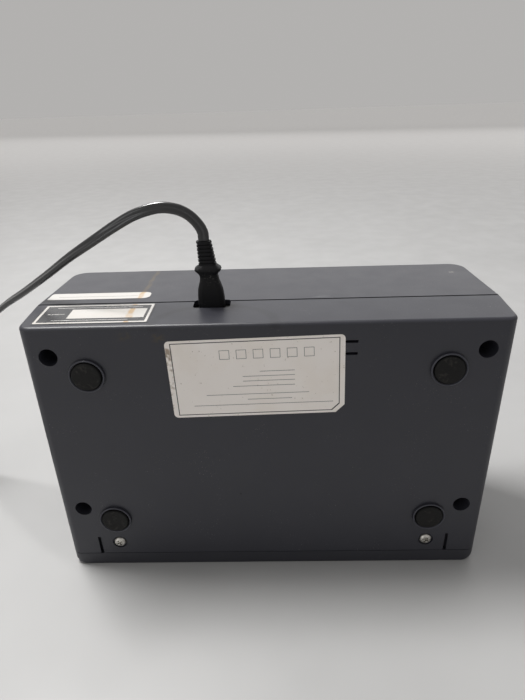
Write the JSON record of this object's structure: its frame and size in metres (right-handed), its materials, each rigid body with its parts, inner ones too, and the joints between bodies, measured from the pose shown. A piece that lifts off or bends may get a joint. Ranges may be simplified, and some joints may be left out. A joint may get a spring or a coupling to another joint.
{
  "type": "compression therapy pump",
  "caption": "Air compression therapy pump: flat charcoal case on rubber feet, recessed front panel with gauge, knob, rocker, buttons and hose nozzles, and a coiled mains cord.",
  "frame": {"origin": "centre of the pump's own bounding box in X and Y, at its lowest point, without the cord", "axes": "+X across the case, +Y from the underside with the feet to the top cover, +Z from the front rim that it stands on to the rear face with the mains inlet"},
  "size_m": [0.494, 0.1175, 0.2432],
  "materials": {
    "housing": "satin charcoal moulding",
    "bezel": "satin dark charcoal moulding",
    "panel": "satin light grey",
    "foot_rubber": "matt black",
    "zinc": "zinc plated",
    "black_plastic": "fine grain",
    "rocker": "glossy",
    "knob": "fine grain",
    "steel": "ground",
    "nylon": "natural nylon",
    "dial": "white enamel",
    "needle": "black enamel",
    "lens": "clear",
    "button": "satin",
    "board": "laminate",
    "lamp": "diffusing",
    "fuse_glass": "clear",
    "wire": "insulated wire",
    "cast": "cast alloy",
    "aluminium": "die cast",
    "copper": "enamelled winding",
    "rubber": "black",
    "tubing": "soft clear tubing",
    "cord": "black sheath",
    "brass": "bright"
  },
  "bodies": {
    "housing": {"base_shell": "housing", "top_cover": "housing", "front_bezel": "bezel", "fascia": "panel", "foot_rear_left": "foot_rubber", "foot_rear_right": "foot_rubber", "foot_front_left": "foot_rubber", "foot_front_right": "foot_rubber", "case_screws": "zinc", "bezel_screws": "zinc", "rocker_frame": "black_plastic", "regulator_body": "nylon", "gauge_case": "black_plastic", "gauge_dial": "dial", "gauge_lens": "lens", "run_spring": "steel", "hold_spring": "steel", "button_board": "board", "indicator_lamps": "lamp", "nozzle_1": "nylon", "nozzle_2": "nylon", "nozzle_3": "nylon", "nozzle_4": "nylon", "nozzle_nuts": "steel", "inlet_socket": "black_plastic", "inlet_pins": "brass", "power_board": "board", "board_screws": "zinc", "fuse": "fuse_glass", "wiring": "wire", "compressor_case": "aluminium", "compressor_lid": "aluminium", "compressor_heads": "cast", "compressor_coils": "copper", "compressor_diaphragms": "rubber", "compressor_mounts": "rubber", "valve_motor": "steel", "valve_body": "nylon", "valve_cap": "nylon", "pressure_hoses": "tubing", "supply_hose": "tubing", "outlet_hoses": "tubing", "cord_connector": "cord", "strain_relief": "cord", "cord_lead": "cord", "cord_coil": "cord", "cord_tail": "cord", "cord_tie": "black_plastic", "wall_plug": "cord", "plug_relief": "cord", "plug_blades": "brass"},
    "rocker": {"power_rocker": "rocker"},
    "knob": {"pressure_knob": "knob", "regulator_stem": "steel"},
    "needle": {"gauge_needle": "needle"},
    "run_button": {"run_button": "button"},
    "hold_button": {"hold_button": "button"},
    "rotor": {"valve_rotor": "black_plastic"},
    "armature": {"compressor_armature": "steel"}
  },
  "joints": [
    {"name": "rocker_tip", "type": "hinge", "parent": "housing", "child": "rocker", "pos_m": [-0.104, 0.01925, 0.016], "axis": [1, 0, 0], "range_deg": [0, 16]},
    {"name": "knob_turn", "type": "hinge", "parent": "housing", "child": "knob", "pos_m": [0.028, 0.00525, 0.008], "axis": [0, 0, 1], "range_deg": [0, 270]},
    {"name": "gauge_pointer", "type": "hinge", "parent": "housing", "child": "needle", "pos_m": [0.09, 0.00525, 0.016], "axis": [0, 0, 1], "range_deg": [0, 270], "stiffness_Nm_per_rad": 0.0002, "springref_deg": -17.19},
    {"name": "run_press", "type": "slide", "parent": "housing", "child": "run_button", "axis": [0, 0, 1], "range_m": [0, 0.002], "stiffness_N_per_m": 400, "springref_m": -0.002, "deforming": ["run_spring"]},
    {"name": "hold_press", "type": "slide", "parent": "housing", "child": "hold_button", "axis": [0, 0, 1], "range_m": [0, 0.002], "stiffness_N_per_m": 400, "springref_m": -0.002, "deforming": ["hold_spring"]},
    {"name": "rotor_spin", "type": "hinge", "parent": "housing", "child": "rotor", "pos_m": [-0.074, -0.02275, 0.102], "axis": [0, 1, 0], "continuous": true},
    {"name": "armature_slide", "type": "slide", "parent": "housing", "child": "armature", "axis": [1, 0, 0], "range_m": [-0.0015, 0.0015], "stiffness_N_per_m": 8000}
  ]
}
